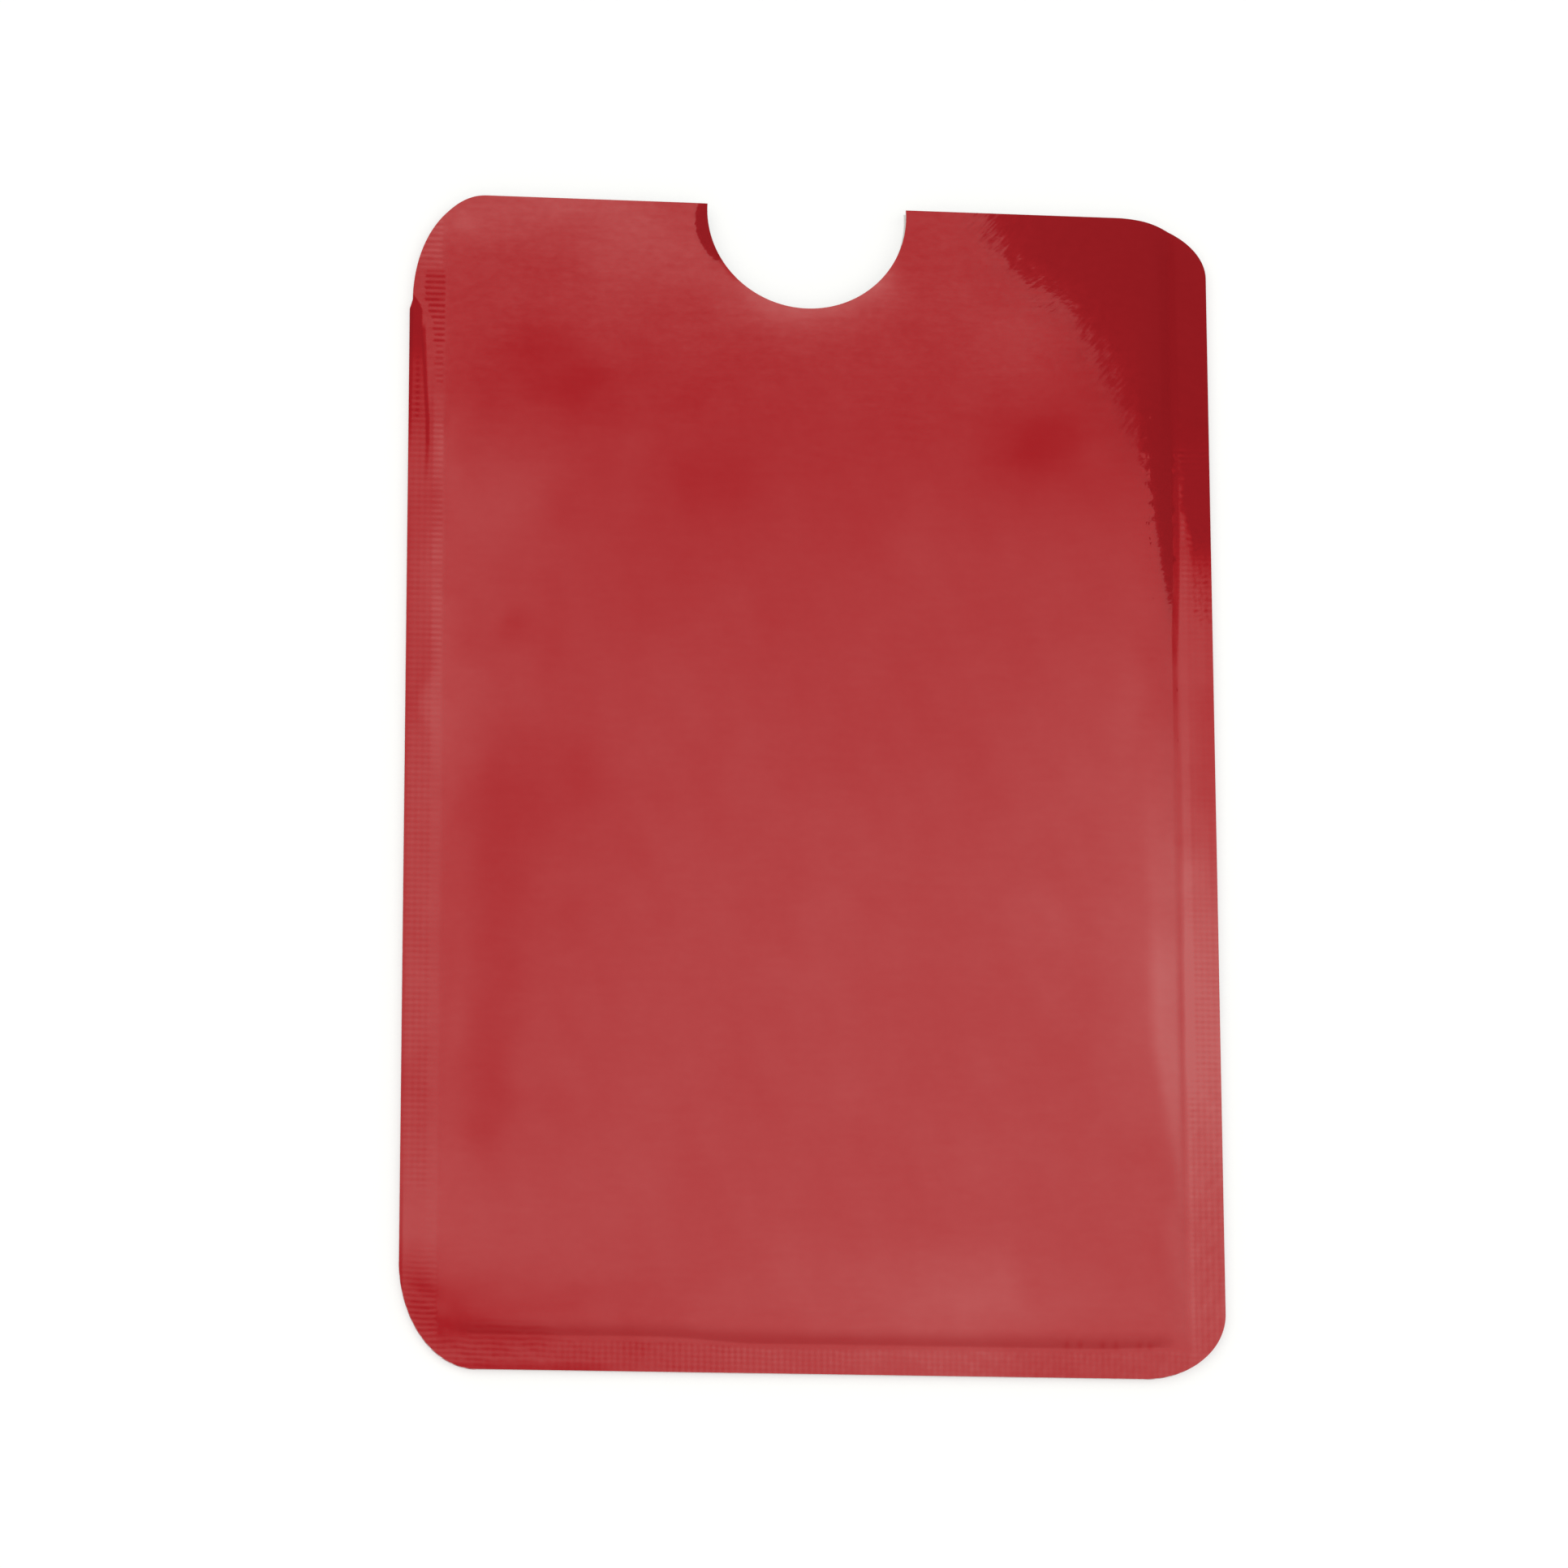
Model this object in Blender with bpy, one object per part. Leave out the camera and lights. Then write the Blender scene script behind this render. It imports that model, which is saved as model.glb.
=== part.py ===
"""Foil-lined card sleeve, a flat pouch that shields a contactless card from radio readers.

Two laminated walls lie on each other and are welded together along both long sides and the
foot. The mouth stays open, with a half-round thumb notch cut through both walls. Each wall
has three plies: a coloured outer film, an aluminium foil and a heat-seal liner. Between the
welds the walls part over a card-thick pocket: the back wall dips from the weld bands to the
surface that it lies on, and the front wall rises from them as far again and lies flat.

The sleeve lies on its back: X across, Y from the foot to the mouth, Z up through the plies.
"""

import math

import bmesh
import bpy

# Outline of the cut blank, in metres
SLEEVE_WIDTH = 0.0620
SLEEVE_LENGTH = 0.0910

# The corner rounds are cut by hand, so each reaches its own way in across and along the sleeve
MOUTH_LEFT_ACROSS = 0.0056
MOUTH_LEFT_ALONG = 0.0084
MOUTH_RIGHT_ACROSS = 0.0071
MOUTH_RIGHT_ALONG = 0.0046
FOOT_LEFT_ACROSS = 0.0058
FOOT_LEFT_ALONG = 0.0081
FOOT_RIGHT_ACROSS = 0.0063
FOOT_RIGHT_ALONG = 0.0050

# The left mouth corner was cut a little too far in, which leaves a small step on the long edge
STEP_DEPTH = 0.00024
STEP_RUN = 0.00080

# The thumb notch: its centre lies a little below the mouth edge and left of the middle line
NOTCH_RADIUS = 0.00775
NOTCH_DROP = 0.00050
NOTCH_OFFSET = 0.00035

# Weld bands along the two sides and the foot
LEFT_BAND = 0.0028
RIGHT_BAND = 0.0026
FOOT_BAND = 0.0024
WELD_CLEARANCE = 0.00005

# Plies of each wall, from the outside in, and the adhesive line that parts them
FILM_THICKNESS = 0.00005
FOIL_THICKNESS = 0.00003
LINER_THICKNESS = 0.00006
GLUE_LINE = 0.00001
LINER_CLEARANCE = 0.00002

# The pocket between the two liners, and the ramps by which the walls part round it
POCKET_GAP = 0.00090
BACK_DIP = 0.00044
SIDE_RAMP = 0.0016
FOOT_RAMP = 0.0016

# How finely the rounds are faceted and the ramps are divided
CORNER_STEPS = 10
NOTCH_STEPS = 36
RAMP_STEPS = 8
SMOOTH_ANGLE = math.radians(30)

# Edges that follow from the sizes above
LEFT_EDGE = -SLEEVE_WIDTH / 2
RIGHT_EDGE = SLEEVE_WIDTH / 2
FOOT_EDGE = -SLEEVE_LENGTH / 2
MOUTH_EDGE = SLEEVE_LENGTH / 2
POCKET_LEFT = LEFT_EDGE + LEFT_BAND
POCKET_RIGHT = RIGHT_EDGE - RIGHT_BAND
POCKET_FOOT = FOOT_EDGE + FOOT_BAND

# Undersides of the plies as they lie in the weld bands, before the back wall's dip is added
WELD_THICKNESS = 2 * LINER_THICKNESS + LINER_CLEARANCE
BACK_FOIL_LEVEL = FILM_THICKNESS + GLUE_LINE
WELD_LEVEL = BACK_FOIL_LEVEL + FOIL_THICKNESS + GLUE_LINE
FRONT_FOIL_LEVEL = WELD_LEVEL + WELD_THICKNESS + GLUE_LINE
FRONT_LINER_LEVEL = FRONT_FOIL_LEVEL - GLUE_LINE - LINER_THICKNESS
FRONT_FILM_LEVEL = FRONT_FOIL_LEVEL + FOIL_THICKNESS + GLUE_LINE

# The liners lie LINER_CLEARANCE apart beside the welds, so the two walls part by the rest of the gap
FRONT_RISE = POCKET_GAP - LINER_CLEARANCE - BACK_DIP


def clear_scene():
    """Empty the scene before the sleeve is modelled."""
    for old in list(bpy.data.objects):
        bpy.data.objects.remove(old, do_unlink=True)


def finish(name, colour, roughness, metallic):
    """A plain material in the ply's own colour."""
    material = bpy.data.materials.new(name)
    material.use_nodes = True
    shader = material.node_tree.nodes["Principled BSDF"]
    shader.inputs["Base Color"].default_value = (*colour, 1)
    shader.inputs["Roughness"].default_value = roughness
    shader.inputs["Metallic"].default_value = metallic
    return material


def arc(centre, reach, start_degrees, end_degrees, steps):
    """Points along an elliptical arc, both ends included."""
    points = []
    for step in range(steps + 1):
        angle = math.radians(start_degrees + (end_degrees - start_degrees) * step / steps)
        points.append((centre[0] + reach[0] * math.cos(angle), centre[1] + reach[1] * math.sin(angle)))
    return points


def corner(side, end, across, along, start_degrees, inset=0):
    """A quarter round that meets a long edge, or a line inset from it, and an end edge.

    side is -1 on the left and 1 on the right, end is -1 at the foot and 1 at the mouth.
    """
    centre = (side * (RIGHT_EDGE - inset - across), end * (MOUTH_EDGE - along))
    return arc(centre, (across, along), start_degrees, start_degrees + 90, CORNER_STEPS)


def blank_outline():
    """The blank's outline, counter-clockwise from the left end of the foot."""
    notch_centre = (-NOTCH_OFFSET, MOUTH_EDGE - NOTCH_DROP)
    overrun = math.degrees(math.asin(NOTCH_DROP / NOTCH_RADIUS))
    outline = corner(-1, -1, FOOT_LEFT_ACROSS, FOOT_LEFT_ALONG, 180)
    outline += corner(1, -1, FOOT_RIGHT_ACROSS, FOOT_RIGHT_ALONG, 270)
    outline += corner(1, 1, MOUTH_RIGHT_ACROSS, MOUTH_RIGHT_ALONG, 0)
    outline += arc(notch_centre, (NOTCH_RADIUS, NOTCH_RADIUS), overrun, -180 - overrun, NOTCH_STEPS)
    outline += corner(-1, 1, MOUTH_LEFT_ACROSS, MOUTH_LEFT_ALONG, 90, inset=STEP_DEPTH)
    outline.append((LEFT_EDGE, MOUTH_EDGE - MOUTH_LEFT_ALONG - STEP_RUN))
    return outline


def even_steps(start, end, steps):
    """Places that divide a stretch evenly, both ends included."""
    return [start + (end - start) * step / steps for step in range(steps + 1)]


def cut_across(sheet, place, normal, drop_beyond=False):
    """Cut the sheet along a straight line, and drop what lies beyond it if asked."""
    geometry = sheet.verts[:] + sheet.edges[:] + sheet.faces[:]
    bmesh.ops.bisect_plane(sheet, geom=geometry, plane_co=place, plane_no=normal, clear_outer=drop_beyond)


def flat_sheet(left=None, right=None, foot=None, top=None):
    """The blank as one flat face, trimmed to the limits that are given."""
    sheet = bmesh.new()
    sheet.faces.new([sheet.verts.new((x, y, 0)) for x, y in blank_outline()])
    if left is not None:
        cut_across(sheet, (left, 0, 0), (-1, 0, 0), drop_beyond=True)
    if right is not None:
        cut_across(sheet, (right, 0, 0), (1, 0, 0), drop_beyond=True)
    if foot is not None:
        cut_across(sheet, (0, foot, 0), (0, -1, 0), drop_beyond=True)
    if top is not None:
        cut_across(sheet, (0, top, 0), (0, 1, 0), drop_beyond=True)
    return sheet


def liner_sheet():
    """The liner's blank, which ends where the welds begin."""
    return flat_sheet(
        left=POCKET_LEFT + WELD_CLEARANCE,
        right=POCKET_RIGHT - WELD_CLEARANCE,
        foot=POCKET_FOOT + WELD_CLEARANCE,
    )


def divide(sheet):
    """Cut the sheet into cells along the ramps, so that it can be formed."""
    across = even_steps(POCKET_LEFT, POCKET_LEFT + SIDE_RAMP, RAMP_STEPS)
    across += even_steps(POCKET_RIGHT - SIDE_RAMP, POCKET_RIGHT, RAMP_STEPS)
    for x in across:
        cut_across(sheet, (x, 0, 0), (1, 0, 0))
    for y in even_steps(POCKET_FOOT, POCKET_FOOT + FOOT_RAMP, RAMP_STEPS):
        cut_across(sheet, (0, y, 0), (0, 1, 0))


def ramp_share(distance, ramp):
    """The share of a ramp's height at a distance in from a weld: 0 on the weld, 1 past the ramp."""
    run_share = min(max(distance / ramp, 0), 1)
    return run_share ** 2 * (3 - 2 * run_share)


def pocket_share(x, y):
    """How far the walls have parted: 0 on the welds and 1 in the pocket, with ramps between."""
    sides_share = ramp_share(x - POCKET_LEFT, SIDE_RAMP) * ramp_share(POCKET_RIGHT - x, SIDE_RAMP)
    return sides_share * ramp_share(y - POCKET_FOOT, FOOT_RAMP)


def back_form(x, y):
    """The back wall's height: up at the weld bands, down on the surface under the pocket."""
    return BACK_DIP * (1 - pocket_share(x, y))


def front_form(x, y):
    """The front wall's height: level with the weld bands, then up over the pocket."""
    return BACK_DIP + FRONT_RISE * pocket_share(x, y)


def weld_form(x, y):
    """The welds lie flat at the bands' height."""
    return BACK_DIP


def add_ply(name, sheet, level, thickness, form, material):
    """Thicken a flat sheet into a closed ply, and lift every point of it by its wall's form."""
    bmesh.ops.triangulate(sheet, faces=sheet.faces[:])
    topside = bmesh.ops.extrude_face_region(sheet, geom=sheet.faces[:], use_keep_orig=True)["geom"]
    raised = [part for part in topside if isinstance(part, bmesh.types.BMVert)]
    bmesh.ops.translate(sheet, verts=raised, vec=(0, 0, thickness))
    for vertex in sheet.verts:
        vertex.co.z += level + form(vertex.co.x, vertex.co.y)
    bmesh.ops.recalc_face_normals(sheet, faces=sheet.faces[:])
    mesh = bpy.data.meshes.new(name)
    sheet.to_mesh(mesh)
    sheet.free()
    mesh.shade_smooth()
    mesh.set_sharp_from_angle(angle=SMOOTH_ANGLE)
    mesh.materials.append(material)
    bpy.context.scene.collection.objects.link(bpy.data.objects.new(name, mesh))


def add_wall(plies, form):
    """One wall: its plies share one form and one division, so they nest without touching."""
    for name, make_sheet, level, thickness, material in plies:
        sheet = make_sheet()
        divide(sheet)
        add_ply(name, sheet, level, thickness, form, material)


def add_back_wall():
    """The wall that the sleeve lies on."""
    film = finish("back_film", (0.43, 0.036, 0.040), 0.30, 0.45)
    foil = finish("back_foil", (0.78, 0.79, 0.80), 0.35, 1.0)
    liner = finish("back_liner", (0.80, 0.80, 0.78), 0.50, 0.0)
    plies = (
        ("back_film", flat_sheet, 0, FILM_THICKNESS, film),
        ("back_foil", flat_sheet, BACK_FOIL_LEVEL, FOIL_THICKNESS, foil),
        ("back_liner", liner_sheet, WELD_LEVEL, LINER_THICKNESS, liner),
    )
    add_wall(plies, back_form)


def add_front_wall():
    """The wall that faces up."""
    film = finish("front_film", (0.43, 0.036, 0.040), 0.30, 0.45)
    foil = finish("front_foil", (0.78, 0.79, 0.80), 0.35, 1.0)
    liner = finish("front_liner", (0.80, 0.80, 0.78), 0.50, 0.0)
    plies = (
        ("front_liner", liner_sheet, FRONT_LINER_LEVEL, LINER_THICKNESS, liner),
        ("front_foil", flat_sheet, FRONT_FOIL_LEVEL, FOIL_THICKNESS, foil),
        ("front_film", flat_sheet, FRONT_FILM_LEVEL, FILM_THICKNESS, film),
    )
    add_wall(plies, front_form)


def add_welds():
    """The fused strips between the two foils: one along each side, and one across the foot."""
    fused = finish("weld", (0.74, 0.74, 0.72), 0.45, 0.0)
    side_foot = POCKET_FOOT + WELD_CLEARANCE
    strips = (
        ("left_weld", flat_sheet(right=POCKET_LEFT, foot=side_foot)),
        ("right_weld", flat_sheet(left=POCKET_RIGHT, foot=side_foot)),
        ("foot_weld", flat_sheet(top=POCKET_FOOT)),
    )
    for name, strip in strips:
        add_ply(name, strip, WELD_LEVEL, WELD_THICKNESS, weld_form, fused)


def main():
    clear_scene()
    add_back_wall()
    add_front_wall()
    add_welds()


main()
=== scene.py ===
import math

import bpy
import numpy as np
from mathutils import Euler, Matrix, Vector
from mathutils.geometry import delaunay_2d_cdt


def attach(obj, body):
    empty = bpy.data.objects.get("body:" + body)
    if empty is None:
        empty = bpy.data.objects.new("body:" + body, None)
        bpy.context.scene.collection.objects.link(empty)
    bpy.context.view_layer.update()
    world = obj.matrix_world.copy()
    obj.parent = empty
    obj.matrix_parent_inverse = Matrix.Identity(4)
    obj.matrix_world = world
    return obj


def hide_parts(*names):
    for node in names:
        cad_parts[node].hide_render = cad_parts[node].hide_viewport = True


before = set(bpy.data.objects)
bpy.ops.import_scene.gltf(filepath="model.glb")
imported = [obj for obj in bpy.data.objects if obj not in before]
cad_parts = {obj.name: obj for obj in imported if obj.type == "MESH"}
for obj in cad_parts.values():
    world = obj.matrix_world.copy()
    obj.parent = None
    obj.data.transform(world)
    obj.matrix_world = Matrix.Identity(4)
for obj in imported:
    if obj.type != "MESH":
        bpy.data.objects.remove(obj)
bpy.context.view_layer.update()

# Lengths are in millimetres until a mesh, lamp or camera is placed
MM = 0.001

# The blank, its bands and its plies, as in the part's source
SLEEVE_WIDTH, SLEEVE_LENGTH = 62.0, 91.0
RIGHT_EDGE, MOUTH_EDGE = SLEEVE_WIDTH / 2, SLEEVE_LENGTH / 2
LEFT_EDGE, FOOT_EDGE = -RIGHT_EDGE, -MOUTH_EDGE
STEP_DEPTH, STEP_RUN = 0.24, 0.80
FOOT_LEFT = (-1, -1, 5.8, 8.1, 180, 0.0)
FOOT_RIGHT = (1, -1, 6.3, 5.0, 270, 0.0)
MOUTH_RIGHT = (1, 1, 7.1, 4.6, 0, 0.0)
MOUTH_LEFT = (-1, 1, 5.6, 8.4, 90, STEP_DEPTH)
NOTCH_RADIUS, NOTCH_DROP, NOTCH_OFFSET = 7.75, 0.50, 0.35
LEFT_BAND, RIGHT_BAND, FOOT_BAND, WELD_CLEARANCE = 2.8, 2.6, 2.4, 0.05
POCKET_LEFT, POCKET_RIGHT = LEFT_EDGE + LEFT_BAND, RIGHT_EDGE - RIGHT_BAND
POCKET_FOOT = FOOT_EDGE + FOOT_BAND
FILM, FOIL, LINER, GLUE_LINE, LINER_CLEARANCE = 0.05, 0.03, 0.06, 0.01, 0.02
POCKET_GAP, BACK_DIP, SIDE_RAMP, FOOT_RAMP = 0.90, 0.44, 1.6, 1.6
FRONT_RISE = POCKET_GAP - LINER_CLEARANCE - BACK_DIP
WELD_LEVEL = FILM + GLUE_LINE + FOIL + GLUE_LINE
FRONT_FOIL_LEVEL = WELD_LEVEL + 2 * LINER + LINER_CLEARANCE + GLUE_LINE
FRONT_LINER_LEVEL = FRONT_FOIL_LEVEL - GLUE_LINE - LINER
FRONT_FILM_LEVEL = FRONT_FOIL_LEVEL + FOIL + GLUE_LINE
BAND_TOP = BACK_DIP + FRONT_FILM_LEVEL + FILM

# The front wall bends up at the welds: on the right a little short of the weld's edge, and
# along the foot a little way out over it, except towards the left
BULGE_RUN, CREASE_RUN = 2.4, 0.3
BEND_RIGHT = POCKET_RIGHT - 0.2
FOOT_BEND_OUT = 0.4

# The film is dragged down round the left end of the notch: how far, how far round the rim
# in degrees, and how far in from it
NOTCH_DENT, DENT_ANGLE, DENT_SPREAD, DENT_REACH = 0.050, 12, 35, 2.3

# Heights of the film's broad waves and of its fine ones
BROAD_WAVE, FINE_WAVE = 0.0012, 0.00015

# Knurl of the sealing bars, whose ribs lie a little closer at the foot than at the mouth
RIB_PITCH = 0.455
RIB_HEIGHTS = (-45.5, -35.0, 28.0, 45.5)
RIB_COUNTS = (-186.39, -161.39, -22.93, 14.47)
CROSS_PITCH = 0.46

# How deep the bars press the film: all over each band, and more along the strip next to the
# pocket. The left strip starts at a place across, and the right one lies between two.
PRESS_LEFT, PRESS_LEFT_STRIP, PRESS_RIGHT, PRESS_RIGHT_STRIP = 0.0030, 0.0060, 0.0003, 0.0010
PRESS_FOOT = 0.0040
LEFT_STRIP, RIGHT_STRIP, RIGHT_STRIP_END = -29.5, 28.6, 29.2

# Mesh points in the knurl: their spacing across and their number to a rib. The right band
# has them up to a height, with wider ones above.
KNURL_STEP, RIB_STEPS = 0.13, 5
KNURL_TOP, WIDER_START = 27.0, 27.15

# How far from the notch's rim the mesh points are closer
NOTCH_CLOSE = 3.0

# Limits of the film's tone, where 0 is deep red and 1 pale
DARKEST, PALEST = -0.5, 1.1


# Outline

def arc(centre, reach, start, end, spacing):
    steps = max(4, round(abs(math.radians(end - start)) * max(reach) / spacing))
    angles = np.radians(np.linspace(start, end, steps + 1))
    return np.stack([centre[0] + reach[0] * np.cos(angles), centre[1] + reach[1] * np.sin(angles)], 1)


def corner_centre(corner):
    side, end, across, along, start, inset = corner
    return side * (RIGHT_EDGE - inset - across), end * (MOUTH_EDGE - along)


def corner_points(corner, spacing):
    side, end, across, along, start, inset = corner
    return arc(corner_centre(corner), (across, along), start, start + 90, spacing)


NOTCH_CENTRE = (-NOTCH_OFFSET, MOUTH_EDGE - NOTCH_DROP)


def keep_side(points, axis, limit, sign):
    """Clip a polygon to one side of a line across an axis."""
    kept = []
    for here, following in zip(points, np.roll(points, -1, axis=0)):
        a, b = sign * (here[axis] - limit), sign * (following[axis] - limit)
        if a >= 0:
            kept.append(here)
        if a * b < 0:
            kept.append(here + (following - here) * (a / (a - b)))
    return np.array(kept)


def blank_outline(spacing, trim=None):
    """Outline points, counter-clockwise from the left end of the foot, no further apart than spacing."""
    overrun = math.degrees(math.asin(NOTCH_DROP / NOTCH_RADIUS))
    points = np.concatenate([
        corner_points(FOOT_LEFT, spacing),
        corner_points(FOOT_RIGHT, spacing),
        corner_points(MOUTH_RIGHT, spacing),
        arc(NOTCH_CENTRE, (NOTCH_RADIUS, NOTCH_RADIUS), overrun, -180 - overrun, spacing),
        corner_points(MOUTH_LEFT, spacing),
        [(LEFT_EDGE, MOUTH_EDGE - MOUTH_LEFT[3] - STEP_RUN)],
    ])
    if trim:
        points = keep_side(points, 0, trim[0], 1)
        points = keep_side(points, 0, trim[1], -1)
        points = keep_side(points, 1, trim[2], 1)
    spaced = []
    for here, following in zip(points, np.roll(points, -1, axis=0)):
        parts = max(1, math.ceil(np.hypot(*(following - here)) / spacing - 0.01))
        spaced += [here + (following - here) * part / parts for part in range(parts)]
    return np.array(spaced)


def notch_distance(x, y):
    return np.hypot(x - NOTCH_CENTRE[0], y - NOTCH_CENTRE[1]) - NOTCH_RADIUS


def edge_distance(x, y):
    """How far in from the blank's cut edge a point is."""
    step = np.clip((y - (MOUTH_EDGE - MOUTH_LEFT[3] - STEP_RUN)) / STEP_RUN, 0, 1) * STEP_DEPTH
    inside = np.minimum.reduce([x - LEFT_EDGE - step, RIGHT_EDGE - x, y - FOOT_EDGE, MOUTH_EDGE - y])
    for corner in (FOOT_LEFT, FOOT_RIGHT, MOUTH_RIGHT, MOUTH_LEFT):
        side, end, across, along, start, inset = corner
        cx, cy = corner_centre(corner)
        u, v = np.maximum(side * (x - cx), 0), np.maximum(end * (y - cy), 0)
        steepness = np.maximum(np.hypot(u / across ** 2, v / along ** 2), 1e-6)
        round_in = (1 - (u / across) ** 2 - (v / along) ** 2) / (2 * steepness)
        inside = np.where((u > 0) & (v > 0), np.minimum(inside, round_in), inside)
    return np.minimum(inside, notch_distance(x, y))


# Form

def smooth_share(value):
    share = np.clip(value, 0, 1)
    return share ** 2 * (3 - 2 * share)


def pocket_share(x, y):
    """The back wall's rise from its pocket to the bands, 1 over the pocket."""
    sides = smooth_share((x - POCKET_LEFT) / SIDE_RAMP) * smooth_share((POCKET_RIGHT - x) / SIDE_RAMP)
    return sides * smooth_share((y - POCKET_FOOT) / FOOT_RAMP)


def bulge(distance):
    """The front wall bends up at a crease and levels off towards the middle of the pocket."""
    steepest = 2 / BULGE_RUN
    inside = np.clip(distance, 0, BULGE_RUN)
    bend = steepest * inside ** 2 / (2 * CREASE_RUN)
    level = 1 - steepest * (BULGE_RUN - inside) ** 2 / (2 * (BULGE_RUN - CREASE_RUN))
    return np.where(inside < CREASE_RUN, bend, level)


def foot_bend(x):
    """Where along the sleeve the front wall bends up at the foot."""
    return POCKET_FOOT - FOOT_BEND_OUT * smooth_share((x + 12) / 8) * (1 - 0.5 * smooth_share((x - 21) / 6))


def front_share(x, y):
    return bulge(x - POCKET_LEFT) * bulge(BEND_RIGHT - x) * bulge(y - foot_bend(x))


def waves(x, y, seed, count, shortest, longest, stretch=1.0):
    """Smooth unevenness of about unit height, from waves with set lengths and random headings."""
    chance = np.random.default_rng(seed)
    total = np.zeros_like(x)
    for _ in range(count):
        length = shortest * (longest / shortest) ** chance.random()
        heading, phase = chance.random(2) * math.tau
        reach = x * math.cos(heading) / stretch + y * math.sin(heading)
        total += np.sin(math.tau * reach / length + phase)
    return total / math.sqrt(count)


def bump_at(x, y, place, reach, turn=0.0):
    """A soft round or oval hill of height 1 at a place."""
    c, s = math.cos(math.radians(turn)), math.sin(math.radians(turn))
    u = ((x - place[0]) * c + (y - place[1]) * s) / reach[0]
    v = (-(x - place[0]) * s + (y - place[1]) * c) / reach[1]
    return np.exp(-(u ** 2 + v ** 2))


def window(value, low, high, soft):
    """1 between two limits, falling to 0 over a margin outside them."""
    return smooth_share((value - low) / soft + 1) * smooth_share((high - value) / soft + 1)


def notch_share(x, y, reach):
    """1 on the notch's rim, falling to 0 at a distance from it."""
    return 1 - smooth_share(notch_distance(x, y) / reach)


def notch_angle(x, y):
    """Degrees round the notch's rim: 0 at its left end, 90 at its lowest point, 180 at its right end."""
    angle = np.degrees(np.arctan2(NOTCH_CENTRE[1] - y, NOTCH_CENTRE[0] - x))
    return np.mod(angle + 90, 360) - 90


def relief(x, y):
    """Shallow waves and dents of the whole front wall, over its pocket."""
    lift = BROAD_WAVE * waves(x, y, 11, 9, 18, 45)
    lift += FINE_WAVE * waves(x, y, 12, 14, 3, 8)
    left_rim = np.exp(-((notch_angle(x, y) - DENT_ANGLE) / DENT_SPREAD) ** 2)
    lift -= NOTCH_DENT * np.clip(1 - notch_distance(x, y) / DENT_REACH, 0, 1) ** 2 * left_rim
    return lift * front_share(x, y)


def front_form(x, y):
    return BACK_DIP + FRONT_RISE * front_share(x, y) + relief(x, y)


def back_form(x, y):
    return BACK_DIP * (1 - pocket_share(x, y))


def rib_wave(y):
    """The sealing bars' ribs, 0 in a groove and 1 on a crest."""
    return 0.5 + 0.5 * np.cos(math.tau * np.interp(y, RIB_HEIGHTS, RIB_COUNTS))


def cross_wave(x):
    return 0.5 + 0.5 * np.cos(math.tau * x / CROSS_PITCH)


def knurl_depth(x, y):
    """How deep the ribs are pressed in: most along the left band's inner strip, least on the right."""
    foot = smooth_share((foot_bend(x) + 0.1 - y) / 0.2)
    left = smooth_share((POCKET_LEFT - 0.05 - x) / 0.15)
    right = smooth_share((x - RIGHT_STRIP) / 0.25)
    inner_left = smooth_share((x - LEFT_STRIP) / 0.2)
    inner_right = smooth_share((RIGHT_STRIP_END - x) / 0.3)
    side = np.maximum(left * (PRESS_LEFT + PRESS_LEFT_STRIP * inner_left),
                      right * (PRESS_RIGHT + PRESS_RIGHT_STRIP * inner_right))
    return np.maximum(side * (1 - foot), PRESS_FOOT * foot)


def knurl(x, y):
    """Depth of the ribs and of the fine cross lines below the band's surface."""
    uneven = np.clip(0.8 + 0.3 * waves(x, y, 31, 8, 3, 12, 0.4), 0.3, 1.2)
    return knurl_depth(x, y) * uneven * (1 - 0.8 * rib_wave(y) - 0.2 * cross_wave(x))


# Meshes

def lattice(left, right, foot, mouth, across, along):
    """Points of a lattice with every second row shifted."""
    columns = np.arange(left, right + across / 2, across)
    rows = np.arange(foot, mouth + along / 2, along)
    x, y = np.meshgrid(columns, rows)
    x = x + np.where(np.arange(len(rows)) % 2, across / 2, 0)[:, None]
    return np.stack([x.ravel(), y.ravel()], 1)


def fine_points(right=POCKET_RIGHT):
    """Points of the weld bands, close enough for their knurl."""
    rib = RIB_PITCH / RIB_STEPS
    return [
        (lattice(LEFT_EDGE, POCKET_LEFT - 0.1, POCKET_FOOT, MOUTH_EDGE, KNURL_STEP, rib), 0.05),
        (lattice(right + 0.1, RIGHT_EDGE, POCKET_FOOT, KNURL_TOP, KNURL_STEP, rib), 0.05),
        (lattice(right + 0.1, RIGHT_EDGE, WIDER_START, MOUTH_EDGE, 0.2, 0.2), 0.08),
        (lattice(LEFT_EDGE, RIGHT_EDGE, FOOT_EDGE, POCKET_FOOT - 0.05, KNURL_STEP, rib), 0.05),
    ]


def ramp_points(step, run, right=POCKET_RIGHT):
    """Points of the bends along the welds, from the crease itself inwards."""
    sides = (POCKET_LEFT, POCKET_LEFT + run), (right - run, right)
    groups = [(lattice(*side, POCKET_FOOT, MOUTH_EDGE, step, 4 * step), 0.1) for side in sides]
    foot = lattice(POCKET_LEFT + run + 0.1, right - run - 0.1, POCKET_FOOT, POCKET_FOOT + run, 2 * step, step)
    return groups + [(foot, 0.1)]


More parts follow.
